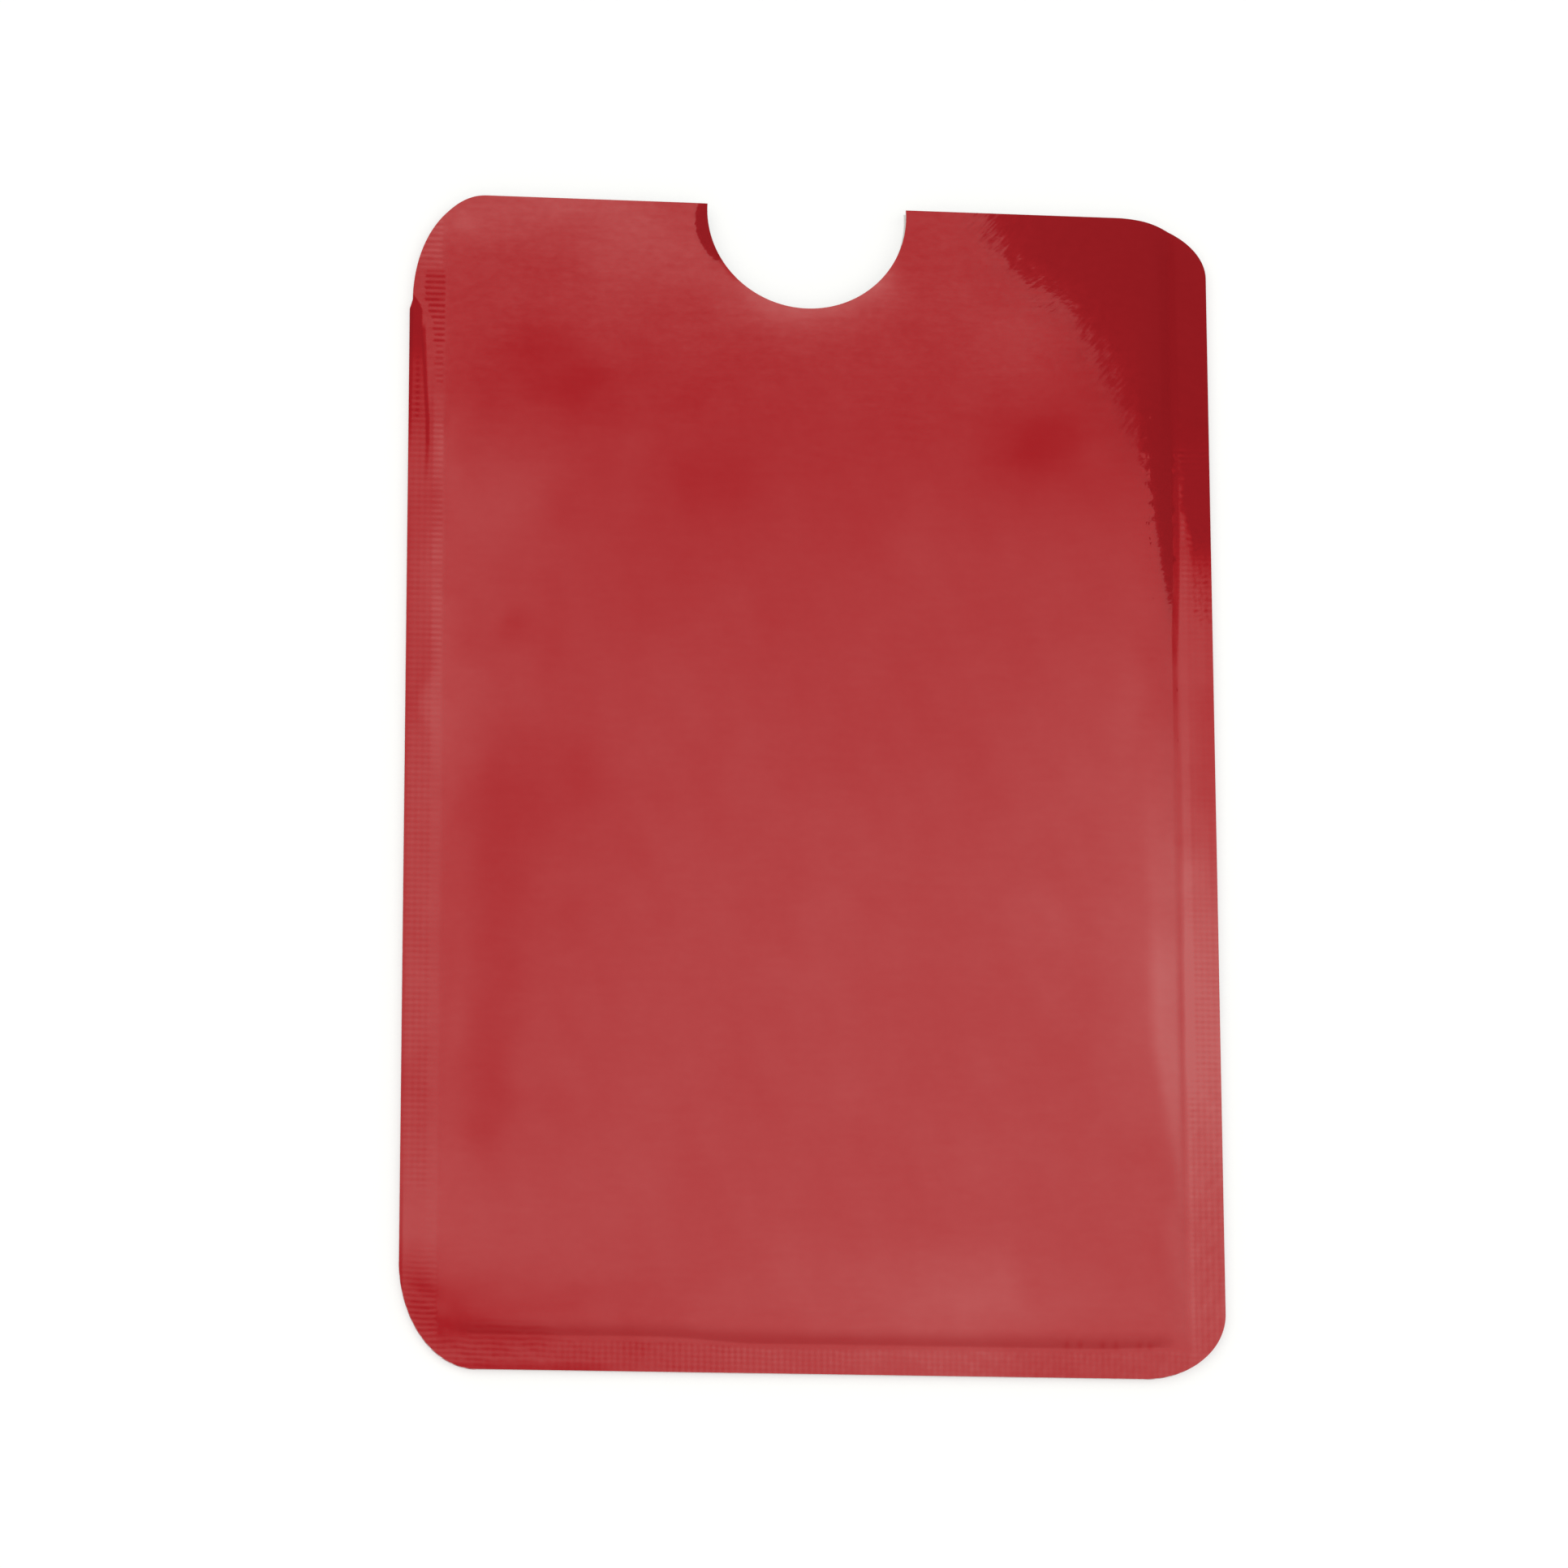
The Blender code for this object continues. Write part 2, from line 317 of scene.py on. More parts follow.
def face_points(step):
    """The open face inside the ramps, and closer points round the notch."""
    open_face = lattice(POCKET_LEFT + BULGE_RUN + 0.1, POCKET_RIGHT - BULGE_RUN - 0.1,
                        POCKET_FOOT + BULGE_RUN + 0.1, MOUTH_EDGE, step, step)
    round_notch = lattice(-NOTCH_RADIUS - NOTCH_CLOSE - 0.5, NOTCH_RADIUS + NOTCH_CLOSE,
                          MOUTH_EDGE - NOTCH_RADIUS - NOTCH_CLOSE - 0.5, MOUTH_EDGE, 0.2, 0.2)
    return [(open_face[notch_distance(*open_face.T) > NOTCH_CLOSE], 0.2),
            (round_notch[notch_distance(*round_notch.T) < NOTCH_CLOSE], 0.1)]


def plain_points(step, run, right=POCKET_RIGHT):
    """Points of a ply's flat bands and open middle, clear of the bends."""
    points = lattice(LEFT_EDGE, RIGHT_EDGE, FOOT_EDGE, MOUTH_EDGE, step, step)
    x, y = points.T
    inwards = np.minimum.reduce([x - POCKET_LEFT, right - x, y - POCKET_FOOT])
    return [(points[(inwards < -0.2) | (inwards > run + 0.2)], step / 3)]


def triangulate(ring, groups, trim=None):
    """Join a ring and the points inside it into triangles. The ring's points come first."""
    inner = []
    for points, margin in groups:
        keep = edge_distance(points[:, 0], points[:, 1]) > margin
        if trim:
            keep &= (points[:, 0] > trim[0] + margin) & (points[:, 0] < trim[1] - margin)
            keep &= points[:, 1] > trim[2] + margin
        inner.append(points[keep])
    flat = np.concatenate([ring, *inner])
    result = delaunay_2d_cdt([Vector(p) for p in flat], [], [list(range(len(ring)))], 1, 1e-6)
    points = np.array([tuple(p) for p in result[0]])
    where = np.full(len(flat), -1)
    for new, olds in enumerate(result[3]):
        for old in olds:
            where[old] = new
    assert (where[: len(ring)] >= 0).all()
    return points, np.array(result[2]), where[: len(ring)]


def make_ply(name, ring, top_groups, foot_groups, top_height, foot_height, trim=None):
    """A closed ply: a top and an underside over one ring, joined by a wall along it."""
    top, top_faces, top_ring = triangulate(ring, top_groups, trim)
    foot, foot_faces, foot_ring = triangulate(ring, foot_groups, trim)
    top_z = top_height(top[:, 0], top[:, 1])
    foot_z = foot_height(foot[:, 0], foot[:, 1])
    points = np.concatenate([np.column_stack([top, top_z]), np.column_stack([foot, foot_z])])
    foot_faces = foot_faces[:, ::-1] + len(top)
    foot_ring = foot_ring + len(top)
    a, b = top_ring, np.roll(top_ring, -1)
    c, d = np.roll(foot_ring, -1), foot_ring
    walls = np.concatenate([np.stack([d, c, b], 1), np.stack([d, b, a], 1)])
    faces = np.concatenate([top_faces, foot_faces, walls])
    mesh = bpy.data.meshes.new(name)
    mesh.from_pydata((points * MM).tolist(), [], faces.tolist())
    mesh.validate()
    mesh.shade_smooth()
    mesh.set_sharp_from_angle(angle=math.radians(40))
    piece = bpy.data.objects.new(name, mesh)
    bpy.context.scene.collection.objects.link(piece)
    return piece


def store(piece, name, values):
    """Keep a number for every point of a mesh, for its material to read."""
    attribute = piece.data.attributes.new(name, "FLOAT", "POINT")
    attribute.data.foreach_set("value", values.astype(np.float32))


def coordinates(piece):
    flat = np.zeros(len(piece.data.vertices) * 3)
    piece.data.vertices.foreach_get("co", flat)
    return flat.reshape(-1, 3) / MM


# Materials

def material_nodes(name):
    material = bpy.data.materials.new(name)
    material.use_nodes = True
    tree = material.node_tree
    return material, tree, tree.nodes["Principled BSDF"]


def link(tree, source, target):
    tree.links.new(source, target)


def set_input(tree, socket, value):
    """Link a socket to another one, or set it to a plain value."""
    if isinstance(value, bpy.types.NodeSocket):
        tree.links.new(value, socket)
    else:
        socket.default_value = value


def add_node(tree, kind, inputs=(), **settings):
    node = tree.nodes.new(kind)
    for key, value in settings.items():
        setattr(node, key, value)
    for key, value in dict(inputs).items():
        set_input(tree, node.inputs[key], value)
    return node


def math_node(tree, operation, first, second=0.0, clamp=False):
    node = add_node(tree, "ShaderNodeMath", {0: first, 1: second}, operation=operation, use_clamp=clamp)
    return node.outputs[0]


def noise(tree, place, scale, stretch=(1, 1, 1), turn=0.0, detail=2.0, roughness=0.5):
    """Noise in object space, with a size in features per millimetre."""
    mapping = add_node(tree, "ShaderNodeMapping", {
        "Vector": place,
        "Rotation": (0, 0, math.radians(turn)),
        "Scale": tuple(axis * MM / scale for axis in stretch),
    }, vector_type="TEXTURE")
    texture = add_node(tree, "ShaderNodeTexNoise", {
        "Vector": mapping.outputs[0], "Scale": 1.0, "Detail": detail, "Roughness": roughness,
    })
    return texture.outputs["Fac"]


def remap(tree, value, low, high, to_low, to_high, smooth=False):
    node = add_node(tree, "ShaderNodeMapRange", {
        "Value": value, "From Min": low, "From Max": high, "To Min": to_low, "To Max": to_high,
    }, interpolation_type="SMOOTHSTEP" if smooth else "LINEAR")
    return node.outputs[0]


def mix_colour(tree, share, first, second):
    node = add_node(tree, "ShaderNodeMix", data_type="RGBA")
    for key, value in ((0, share), (6, first), (7, second)):
        set_input(tree, node.inputs[key], value)
    return node.outputs[2]


# The film's red, deep to pale as its tone rises; where the tone carries painted highlights the paler red
# stands for them
RED_DEEP = (0.275, 0.0105, 0.0150, 1)
RED_PALE = (0.419, 0.0135, 0.0178, 1)
METAL_SHARE = 0.25
FOIL_DARK, FOIL_LIGHT = (0.70, 0.71, 0.72, 1), (0.86, 0.87, 0.88, 1)
LINER_DARK, LINER_LIGHT = (0.72, 0.72, 0.70, 1), (0.86, 0.86, 0.84, 1)


def film_material(name):
    """Red lacquer over a metallised film: a tinted mirror under a clear gloss, as even as its tone is."""
    material, tree, shader = material_nodes(name)
    place = add_node(tree, "ShaderNodeTexCoord").outputs["Object"]
    # The tone attribute holds the film's uneven tone and gloss, and painted highlights, painted reflections
    # and painted shade
    tone = add_node(tree, "ShaderNodeAttribute", attribute_name="tone").outputs["Fac"]
    wear = add_node(tree, "ShaderNodeAttribute", attribute_name="wear").outputs["Fac"]
    cloud = noise(tree, place, 0.09, detail=2)
    streak = noise(tree, place, 2.8, stretch=(8, 1, 1), detail=3, roughness=0.6)
    fleck = noise(tree, place, 2.2, stretch=(1.5, 1, 1), detail=4, roughness=0.7)
    streak = remap(tree, streak, 0.3, 0.7, -0.035, 0.035)
    uneven = math_node(tree, "ADD", streak, remap(tree, fleck, 0.3, 0.7, -0.07, 0.07))
    tone = math_node(tree, "ADD", tone, remap(tree, cloud, 0.3, 0.7, -0.03, 0.03))
    tone = math_node(tree, "ADD", tone, math_node(tree, "MULTIPLY", uneven, wear))

    pale = remap(tree, tone, DARKEST, 1, 0, 1)
    link(tree, mix_colour(tree, pale, RED_DEEP, RED_PALE), shader.inputs["Base Color"])
    gloss = math_node(tree, "MAXIMUM", tone, 0.0)
    gloss = math_node(tree, "MULTIPLY", math_node(tree, "MULTIPLY", gloss, gloss), 0.9, clamp=True)
    link(tree, gloss, shader.inputs["Coat Weight"])
    link(tree, remap(tree, tone, DARKEST, 0.2, 0, METAL_SHARE), shader.inputs["Metallic"])
    link(tree, remap(tree, fleck, 0.35, 0.65, 0.035, 0.055), shader.inputs["Roughness"])
    shader.inputs["Coat Roughness"].default_value = 0.015
    shader.inputs["Coat IOR"].default_value = 1.8
    shader.inputs["Specular IOR Level"].default_value = 0.0

    fur = noise(tree, place, 2.4, stretch=(3.6, 1, 1), turn=40, detail=1)
    tufts = noise(tree, place, 0.8, stretch=(1.6, 1, 1), turn=40, detail=1)
    height = math_node(tree, "ADD", fur, tufts)
    height = math_node(tree, "MULTIPLY", height, wear)
    grain = noise(tree, place, 5.0, stretch=(3, 1, 1), detail=1)
    first = add_node(tree, "ShaderNodeBump", {"Height": height, "Distance": 1.1e-6, "Strength": 1.0})
    second = add_node(tree, "ShaderNodeBump", {"Height": grain, "Distance": 1e-7, "Strength": 1.0,
                                               "Normal": first.outputs[0]})
    link(tree, second.outputs[0], shader.inputs["Normal"])
    link(tree, second.outputs[0], shader.inputs["Coat Normal"])
    return material


def foil_material(name):
    """Bright rolled foil with faint rolling lines along the sleeve."""
    material, tree, shader = material_nodes(name)
    place = add_node(tree, "ShaderNodeTexCoord").outputs["Object"]
    lines = noise(tree, place, 6.0, stretch=(1, 40, 1), detail=3, roughness=0.6)
    link(tree, mix_colour(tree, lines, FOIL_DARK, FOIL_LIGHT), shader.inputs["Base Color"])
    link(tree, remap(tree, lines, 0.3, 0.7, 0.22, 0.42), shader.inputs["Roughness"])
    shader.inputs["Metallic"].default_value = 1.0
    bump = add_node(tree, "ShaderNodeBump", {"Height": lines, "Distance": 4e-6, "Strength": 1.0})
    link(tree, bump.outputs[0], shader.inputs["Normal"])
    return material


def liner_material(name):
    """Milky heat-seal film: faint haze and a fine orange-peel."""
    material, tree, shader = material_nodes(name)
    place = add_node(tree, "ShaderNodeTexCoord").outputs["Object"]
    haze = noise(tree, place, 0.5, detail=3)
    peel = noise(tree, place, 3.0, detail=2)
    link(tree, mix_colour(tree, haze, LINER_DARK, LINER_LIGHT), shader.inputs["Base Color"])
    link(tree, remap(tree, peel, 0.3, 0.7, 0.38, 0.55), shader.inputs["Roughness"])
    bump = add_node(tree, "ShaderNodeBump", {"Height": peel, "Distance": 6e-6, "Strength": 1.0})
    link(tree, bump.outputs[0], shader.inputs["Normal"])
    return material


def floor_material():
    material, tree, shader = material_nodes("floor")
    shader.inputs["Base Color"].default_value = (0.50, 0.50, 0.50, 1)
    shader.inputs["Roughness"].default_value = 0.9
    shader.inputs["Specular IOR Level"].default_value = 0.0
    shader.inputs["Emission Color"].default_value = (1, 1, 1, 1)
    rays = add_node(tree, "ShaderNodeLightPath").outputs
    seen = math_node(tree, "MAXIMUM", rays["Is Camera Ray"], rays["Is Glossy Ray"])
    seen = math_node(tree, "MAXIMUM", seen, rays["Is Transmission Ray"])
    link(tree, math_node(tree, "MULTIPLY", seen, FLOOR_GLOW), shader.inputs["Emission Strength"])
    return material


# The sleeve

# The film's tone from the foot to the mouth, a painted reflection of the tent: palest near the foot, darkest
# a little below the mouth
TONE_HEIGHTS = (-45.5, -40.0, -36.0, -12.0, 2.0, 16.0, 28.0, 37.0, 45.5)
TONE_LEVELS = (0.62, 0.71, 0.69, 0.67, 0.60, 0.50, 0.40, 0.46, 0.50)

# Soft patches of paler and darker film: partly the lacquer's uneven gloss, partly painted highlights and
# painted shade, such as the brighter film towards the lower right
TONE_AND_PAINTED_LIGHT_PATCHES = (
    # place, reach, turn, change of tone
    ((-20.0, 45.5), (13.0, 4.0), 0, 0.24),
    ((-13.5, 41.5), (5.0, 3.4), -18, 0.13),
    ((-28.0, 42.5), (1.4, 3.0), 0, 0.06),
    ((-3.0, 36.8), (5.5, 1.6), 0, 0.10),
    ((15.5, 36.5), (6.0, 4.0), -35, 0.06),
    ((14.0, 38.8), (2.2, 2.6), 0, -0.05),
    ((-21.4, 33.8), (2.7, 2.0), 0, -0.15),
    ((-20.3, 31.5), (4.6, 2.3), -20, -0.07),
    ((-17.9, 29.8), (2.7, 1.9), -10, -0.15),
    ((-24.3, 29.0), (2.0, 2.0), 0, -0.04),
    ((-8.9, 23.3), (4.4, 3.4), -20, -0.10),
    ((16.8, 27.6), (3.4, 2.5), 0, -0.16),
    ((19.0, 25.5), (4.6, 3.6), 0, -0.09),
    ((16.0, 24.5), (3.5, 4.5), 0, -0.04),
    ((16.0, 17.0), (8.5, 7.0), 0, 0.06),
    ((8.5, 18.5), (3.5, 5.0), 0, 0.05),
    ((-26.0, 21.5), (6.5, 6.0), 0, 0.15),
    ((-28.2, 26.5), (1.2, 3.0), 0, 0.08),
    ((-22.0, 13.0), (3.0, 3.0), 0, -0.06),
    ((-22.5, 8.0), (3.0, 6.0), 0, 0.04),
    ((-20.0, -1.0), (4.6, 5.5), 20, -0.12),
    ((-21.5, -10.0), (4.5, 4.0), 0, -0.09),
    ((-14.0, -14.5), (2.5, 4.5), 0, -0.05),
    ((-17.5, -20.5), (3.0, 3.0), 0, -0.06),
    ((-24.0, -7.0), (2.0, 9.0), 0, -0.11),
    ((-24.2, -22.0), (1.8, 8.0), 0, -0.13),
    ((-28.5, -3.0), (0.8, 32.0), 0, 0.06),
    ((-28.3, 9.0), (1.2, 6.0), 0, 0.07),
    ((-26.8, 5.4), (2.2, 3.4), 0, 0.14),
    ((-24.5, 14.0), (3.2, 3.0), 0, 0.07),
    ((-29.6, 20.2), (1.6, 2.2), 0, -0.10),
    ((-26.3, -2.8), (2.2, 4.0), 0, -0.08),
    ((-21.5, -5.0), (3.0, 3.0), 0, -0.04),
    ((-21.5, -14.0), (4.0, 4.0), 0, -0.05),
    ((-24.0, -26.0), (4.5, 3.5), 0, -0.07),
    ((-29.8, -25.0), (1.6, 3.6), 0, -0.12),
    ((-21.0, 9.0), (1.8, 2.0), 0, -0.06),
    ((-21.0, 22.6), (2.4, 2.0), 0, 0.05),
    ((-14.0, 26.3), (1.8, 1.8), 0, 0.06),
    ((-20.8, 40.3), (2.6, 1.8), 0, -0.07),
    ((-20.1, 39.6), (0.25, 1.2), 20, -0.07),
    ((-8.6, 40.3), (1.8, 1.8), 0, 0.10),
    ((-8.5, 30.5), (3.0, 2.0), 0, -0.09),
    ((0.0, -15.5), (2.5, 2.5), 0, 0.06),
    ((-7.5, -38.5), (5.5, 3.0), 0, -0.02),
    ((4.0, -40.0), (3.0, 2.0), 0, -0.05),
    ((17.8, -11.0), (2.0, 4.0), 0, 0.07),
    ((21.0, 33.5), (2.0, 2.5), 0, -0.06),
    ((21.5, 26.3), (1.8, 2.0), 0, 0.06),
    ((-28.3, -15.0), (1.2, 12.0), 0, -0.10),
    ((20.0, 5.0), (6.0, 9.0), 0, 0.06),
    ((24.5, 7.0), (1.8, 3.5), 0, 0.08),
    ((25.0, -4.0), (5.0, 14.0), 0, 0.09),
    ((25.2, -17.0), (3.0, 11.0), 0, 0.09),
    ((24.0, -28.0), (1.8, 2.6), 0, -0.06),
    ((28.0, -5.0), (0.9, 5.0), 0, 0.06),
    ((28.0, -36.0), (0.9, 6.0), 0, 0.08),
    ((9.0, -40.0), (9.0, 3.6), 0, 0.12),
    ((11.5, -38.3), (3.0, 3.0), 0, 0.05),
    ((-20.5, -40.4), (6.5, 1.7), 0, -0.14),
    ((-12.0, -40.0), (3.5, 3.5), 0, -0.06),
    ((-28.0, -39.3), (1.6, 0.9), 0, -0.26),
    ((-28.6, -38.2), (2.6, 1.6), 0, -0.10),
    ((-25.5, -39.8), (3.2, 2.0), 0, -0.08),
    ((-29.5, -41.0), (2.4, 4.0), 0, -0.10),
    ((-26.0, -42.1), (4.5, 1.2), -12, -0.26),
    ((-27.0, 43.8), (1.2, 1.0), 40, 0.12),
    ((4.8, 38.6), (1.6, 0.9), 40, 0.08),
    ((-29.4, 5.2), (1.1, 2.6), 0, -0.11),
    ((-29.2, 12.3), (1.8, 1.7), 0, 0.08),
    ((-28.0, -10.5), (1.2, 3.0), 0, 0.05),
    ((-13.8, 31.5), (1.8, 2.6), 0, -0.06),
    ((22.5, 30.5), (3.2, 2.6), 0, -0.09),
    ((-18.0, 31.0), (1.5, 3.0), 0, -0.05),
    ((-4.5, 3.0), (2.0, 4.0), 0, 0.03),
    ((13.5, -40.6), (3.4, 1.8), 0, 0.06),
    ((-22.9, 11.2), (0.9, 1.4), -25, -0.08),
)

# Where the welding bar left small dimples along the foot crease: the mesh has none, and they are only painted
# as small spots of shade
FOOT_DIMPLE_SHADES = (18.9, 19.9, 21.6, 22.6, 24.4, 25.2)


def patches(x, y, listed):
    total = np.zeros_like(x)
    wander = 0.6 * waves(x, y, 51, 10, 4, 14), 0.6 * waves(x, y, 53, 10, 4, 14)
    for place, reach, turn, change in listed:
        total += change * bump_at(x + wander[0], y + wander[1], place, reach, turn)
    return total


def follow(place, *points):
    """A value that changes along the sleeve, or across it, through (place, value) points."""
    places, values = zip(*points)
    return np.interp(place, places, values)


# The welds, each with changes of tone at places across (x) and along (y) the sleeve

def crinkle_light_and_shade(x, y):
    """Fine slanting wrinkles of the film in its welds, as a pattern for painted light and shade in the tone;
    the mesh itself has no wrinkles.
    """
    c, s = math.cos(math.radians(40)), math.sin(math.radians(40))
    return waves(x * c + y * s, y * c - x * s, 78, 14, 0.4, 1.1, 3)


def left_band_painted_light(x, y):
    """Painted light on the left weld: painted highlights on its ribs and painted shade in its grooves, the
    dark wedge along the upper edge as a painted dark reflection, and the darker line that runs down from it
    as painted shade.
    """
    ribs, grooves = rib_wave(y), 1 - rib_wave(y)
    length = 0.10 * waves(0 * x, y, 71, 10, 0.5, 2.0)
    uneven = np.clip(0.95 + 0.25 * waves(x, y, 72, 12, 0.8, 4.0), 0.4, 1.3)
    tone = 0.05 * window(x, LEFT_EDGE, -28.3, 0.2)

    # The wedge near the top: a painted dark reflection, darkest in the grooves
    start = follow(y, (33.5, -29.0), (35.0, -29.1), (36.3, -29.4), (37.1, -29.65), (38.0, -29.85),
                   (39.4, -29.7))
    dark = grooves ** 1.5 * uneven
    lift = follow(y, (35.0, 0.06), (37.5, -0.02))
    tone += window(x, start + length, -28.35, 0.12) * (lift - 0.44 * dark) * window(y, 33.7, 39.2, 0.4)
    tone += window(x, -28.95 + length, -28.45, 0.12) * (0.06 - 0.26 * dark) * window(y, 30.6, 33.3, 0.6)
    # Painted highlights on the inner strip's ribs, and painted shade in the outer strip's grooves
    strip = follow(y, (-30, 0.04), (4, 0.06), (9, 0.17), (19, 0.18), (27, 0.18), (30, 0.0))
    lift = follow(y, (17, 0.0), (20, -0.10), (22, -0.04), (25, 0.08), (27, 0.08), (30, 0.0))
    tone += window(x, -29.0, -28.4, 0.15) * (strip * (ribs - 0.25) * uneven + lift)
    tone += window(x, -30.2, -28.6, 0.2) * (0.20 * ribs - 0.03) * window(y, 39.9, 43.8, 0.5)
    weave = (0.06 * cross_wave(x) - 0.11 * grooves) * uneven
    tone += window(x, -30.8, -29.1, 0.15) * weave * window(y, -30, 28, 4)

    # A painted dark reflection along the upper outer edge, a painted dark line below it, and painted shade
    # along the cut edge
    edge = np.where(y > 35, LEFT_EDGE + 0.95 * np.sqrt(np.clip((37.5 - y) / 1.3, 0, 1)),
                    follow(y, (23, -29.5), (29, -29.65), (32, -29.82), (35, -30.05)))
    depth = follow(y, (24, 0.0), (28.5, -0.14), (31.8, -0.28), (33.6, -0.65), (38, -0.75))
    tone += smooth_share((edge - x) / 0.10 + 0.5) * (depth + 0.07 * ribs * window(y, 25, 33.5, 1))
    centre = follow(y, (23.0, -29.60), (25.5, -29.53), (27.5, -29.55), (30.2, -29.72), (34.9, -29.93))
    fade = window(y, 26.0, 34.6, 0.6) + 0.7 * smooth_share((y - 22) / 4) * (y < 26)
    tone += window(x, centre - 0.08, centre + 0.08, 0.10) * -0.50 * np.minimum(fade, 1)
    tone += window(x, -31.2, -30.80, 0.08) * -0.40 * smooth_share((y - 23) / 6.0) * (y < 36.4)
    tone += window(x, -30.42, -30.26, 0.10) * -0.36 * grooves * uneven * window(y, 27.8, 32.4, 0.8)
    rim = follow(y, (-38, -0.30), (-35, -0.26), (-31, -0.15), (20, -0.12), (25, 0.0))
    return tone + rim * window(x, -31.2, -30.80, 0.1)


def right_band_painted_light(x, y):
    """Painted light on the right weld: painted highlights and shade on the knurl's weave, the ragged dark rim
    as a painted dark reflection, painted shade in the crease, and the painted highlight that crosses the
    crease lower down.
    """
    ribs, grooves = rib_wave(y), 1 - rib_wave(y)
    uneven = np.clip(0.95 + 0.25 * waves(x, y, 73, 12, 0.8, 4.0), 0.4, 1.3)
    # How much paler or darker the band is along its length: a painted reflection of the tent
    band = smooth_share((x - 27.95) / 0.5)
    lift = follow(y, (-43, 0.04), (-36, 0.08), (-31, 0.14), (-28, 0.19), (-24, 0.26), (-20, 0.32),
                  (-15, 0.29), (-10, 0.21), (-4, 0.06), (3, 0.0), (6, 0.02), (10, 0.06), (14, 0.08),
                  (17, 0.02), (19, -0.05), (21, -0.12), (25, -0.16), (30, -0.08), (36, -0.02))
    tone = band * lift
    # Painted highlights and shade on the knurl's ribs and cross lines, and on the light ribbed strips beside
    # the crease
    rib = follow(y, (-40, 0.045), (-28, 0.07), (-18, 0.12), (-10, 0.07), (-2, 0.04), (8, 0.02),
                 (13, 0.045), (17, 0.15), (20, 0.02))
    cross = follow(y, (-40, 0.09), (-28, 0.085), (-18, 0.07), (-8, 0.05), (0, 0.03), (8, 0.015),
                   (13, 0.03), (17, 0.06), (20, 0.01))
    knurled = smooth_share((x - 28.5) / 0.25)
    tone += knurled * (rib * (ribs - 0.5) + cross * (cross_wave(x) - 0.5)) * uneven
    ridge = follow(y, (-28, 0.0), (-24, 0.05), (-20, 0.16), (-14, 0.16), (-9, 0.08), (-4, 0.10), (2, 0.10),
                   (10, 0.05), (17, 0.04), (19, 0.0))
    tone += window(x, 28.55, 28.85, 0.3) * (ridge + 0.10 * (ribs - 0.5) * uneven * window(y, -24, -14, 4))
    tone -= 0.06 * smooth_share(x - RIGHT_STRIP_END) * window(y, 0, 6, 3)
    strip = follow(y, (19, 0.0), (20.5, 0.8), (23, 0.30), (26, 0.20), (32, 0.10), (36, 0.0))
    tone += window(x, 28.72, 28.90, 0.12) * (0.22 * ribs + 0.06) * strip
    tone += window(x, 28.47, 28.65, 0.12) * (0.08 * ribs + 0.03) * uneven * window(y, -43, -28, 3)
    tone += 0.025 * knurled * crinkle_light_and_shade(x, y) * window(y, -45.5, -24, 4)

    # The ragged dark part of the band towards the mouth, its dark specks and its darker cut edge: a painted
    # dark reflection of the tent's open corner
    ragged = 0.16 * waves(x, y, 76, 12, 0.4, 1.6) - 0.12 * grooves
    shade = follow(y, (13, 0.0), (16, -0.05), (17.3, -0.14), (18.2, -0.28), (19, -0.50), (19.7, -0.64),
                   (24, -0.64), (27, -0.40), (30, 0.0))
    edge = follow(y, (20, 29.1), (22.5, 28.45))
    tone += smooth_share((x - edge + ragged) / 0.5) * shade
    speckle = waves(x, y, 77, 14, 0.3, 0.9)
    tone += smooth_share((x - 29.3) / 0.4) * -0.16 * np.maximum(speckle, 0) * window(y, 14, 20, 2)
    rim = follow(y, (-14, 0.0), (-5, -0.07), (0, 0.0), (5, 0.0), (10, -0.06), (16, -0.06), (18, -0.04),
                 (20, 0.0))
    tone += window(x, 30.45, 31.2, 0.2) * rim
    # The crease's dark line and the darker film beside it: painted shade
    centre = follow(y, (5, 27.98), (8, 28.0), (12, 28.06), (16, 28.22), (20, 28.28))
    half = follow(y, (8, 0.14), (12, 0.2))
    depth = follow(y, (1, 0.0), (5, -0.16), (8, -0.24), (12, -0.45), (20, -0.6), (24, -0.6), (28, -0.35),
                   (42, -0.25), (44.5, 0.0))
    tone += window(x, centre - half, centre + half, 0.10) * depth * (0.7 + 0.3 * grooves)
    tone += window(x, 27.5, 28.3, 0.5) * -0.15 * window(y, 31, 41, 4)
    valley = follow(y, (-33, 0.0), (-28, -0.02), (-24, -0.03), (-15, -0.05), (-10, -0.03), (-5, -0.06),
                    (0, -0.05), (4, 0.0))
    tone += window(x, 27.85, 28.25, 0.35) * valley
    # The painted highlight on the film beside the lower crease
    left = follow(y, (-36, 28.0), (-32, 27.2), (-28, 26.5), (-24, 25.75), (-20, 25.1), (-10, 25.0),
                  (-5, 24.7))
    glow = follow(y, (-40, 0.03), (-32, 0.09), (-28, 0.14), (-24, 0.22), (-20, 0.25), (-15, 0.21),
                  (-10, 0.10), (-5, 0.09), (0, 0.04), (4, 0.0))
    return tone + glow * smooth_share((x - left) / 1.3) * smooth_share((28.3 - x) / 0.8)


